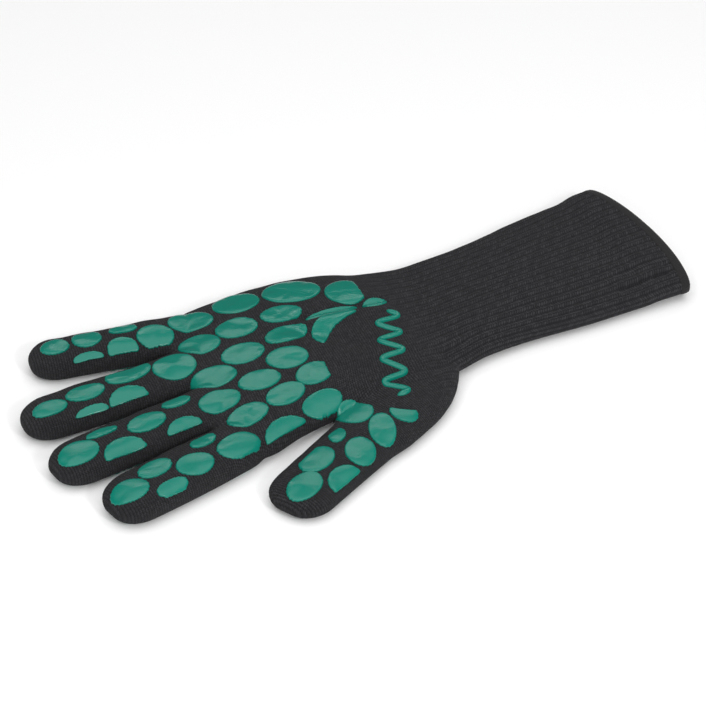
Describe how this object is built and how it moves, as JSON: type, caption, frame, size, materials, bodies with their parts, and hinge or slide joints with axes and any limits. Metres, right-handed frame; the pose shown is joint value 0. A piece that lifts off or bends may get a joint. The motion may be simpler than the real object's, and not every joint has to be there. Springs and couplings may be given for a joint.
{
  "type": "heat resistant glove",
  "caption": "Knitted heat resistant glove with long ribbed gauntlet, cotton liner and oval silicone grip pads; fingers, thumb and wrist fold.",
  "frame": {"origin": "centre of the outline, on the surface that the glove lies on with its palm up", "axes": "+X from the fingertips to the hem of the gauntlet, +Y from the thumb to the little finger, +Z out of the palm"},
  "size_m": [0.3464, 0.1938, 0.018],
  "materials": {
    "knit_shell": "near-black knitted aramid, plain jersey on the hand and ribbed on the gauntlet",
    "cotton_liner": "dark soft cotton jersey",
    "hem_binding": "overlocked black thread over the folded edge",
    "silicone_grip": "teal green printed silicone, smooth and glossy"
  },
  "bodies": {
    "hand": {"palm_shell": "knit_shell", "palm_liner": "cotton_liner", "little_pad_4": "silicone_grip", "ring_pad_5": "silicone_grip", "middle_pad_5": "silicone_grip", "index_pad_4": "silicone_grip", "thumb_pad_5": "silicone_grip", "thumb_pad_6": "silicone_grip", "palm_pad_1": "silicone_grip", "palm_pad_2": "silicone_grip", "palm_pad_3": "silicone_grip", "palm_pad_4": "silicone_grip", "palm_pad_5": "silicone_grip", "palm_pad_6": "silicone_grip", "palm_pad_7": "silicone_grip", "palm_pad_8": "silicone_grip", "palm_pad_9": "silicone_grip", "palm_pad_10": "silicone_grip", "palm_pad_11": "silicone_grip", "palm_pad_12": "silicone_grip", "palm_pad_13": "silicone_grip", "palm_pad_14": "silicone_grip", "palm_pad_15": "silicone_grip", "palm_pad_16": "silicone_grip", "palm_pad_17": "silicone_grip", "palm_pad_18": "silicone_grip", "palm_pad_19": "silicone_grip", "palm_pad_20": "silicone_grip", "heel_wave": "silicone_grip"},
    "cuff": {"cuff_shell": "knit_shell", "cuff_liner": "cotton_liner", "cuff_hem": "hem_binding"},
    "little": {"little_shell": "knit_shell", "little_liner": "cotton_liner", "little_pad_1": "silicone_grip", "little_pad_2": "silicone_grip", "little_pad_3": "silicone_grip"},
    "ring": {"ring_shell": "knit_shell", "ring_liner": "cotton_liner", "ring_pad_1": "silicone_grip", "ring_pad_2": "silicone_grip", "ring_pad_3": "silicone_grip", "ring_pad_4": "silicone_grip"},
    "middle": {"middle_shell": "knit_shell", "middle_liner": "cotton_liner", "middle_pad_1": "silicone_grip", "middle_pad_2": "silicone_grip", "middle_pad_3": "silicone_grip", "middle_pad_4": "silicone_grip"},
    "index": {"index_shell": "knit_shell", "index_liner": "cotton_liner", "index_pad_1": "silicone_grip", "index_pad_2": "silicone_grip", "index_pad_3": "silicone_grip"},
    "thumb": {"thumb_shell": "knit_shell", "thumb_liner": "cotton_liner", "thumb_pad_1": "silicone_grip", "thumb_pad_2": "silicone_grip", "thumb_pad_3": "silicone_grip", "thumb_pad_4": "silicone_grip"}
  },
  "joints": [
    {"name": "little_fold", "type": "hinge", "parent": "hand", "child": "little", "pos_m": [-0.10558, 0.05271, 0.0155], "axis": [0.0624, 0.9981, 0], "range_deg": [0, 90]},
    {"name": "ring_fold", "type": "hinge", "parent": "hand", "child": "ring", "pos_m": [-0.10803, 0.01811, 0.016], "axis": [-0.1313, 0.9913, 0], "range_deg": [0, 90]},
    {"name": "middle_fold", "type": "hinge", "parent": "hand", "child": "middle", "pos_m": [-0.09706, -0.01239, 0.016], "axis": [-0.2154, 0.9765, 0], "range_deg": [0, 90]},
    {"name": "index_fold", "type": "hinge", "parent": "hand", "child": "index", "pos_m": [-0.10127, -0.04681, 0.016], "axis": [-0.3046, 0.9525, 0], "range_deg": [0, 90]},
    {"name": "thumb_fold", "type": "hinge", "parent": "hand", "child": "thumb", "pos_m": [-0.03319, -0.05913, 0.0132], "axis": [-0.5425, 0.8401, 0], "range_deg": [0, 70]},
    {"name": "wrist_fold", "type": "hinge", "parent": "hand", "child": "cuff", "pos_m": [0.03878, 0.0185, 0.0162], "axis": [0, -1, 0], "range_deg": [0, 80]}
  ]
}
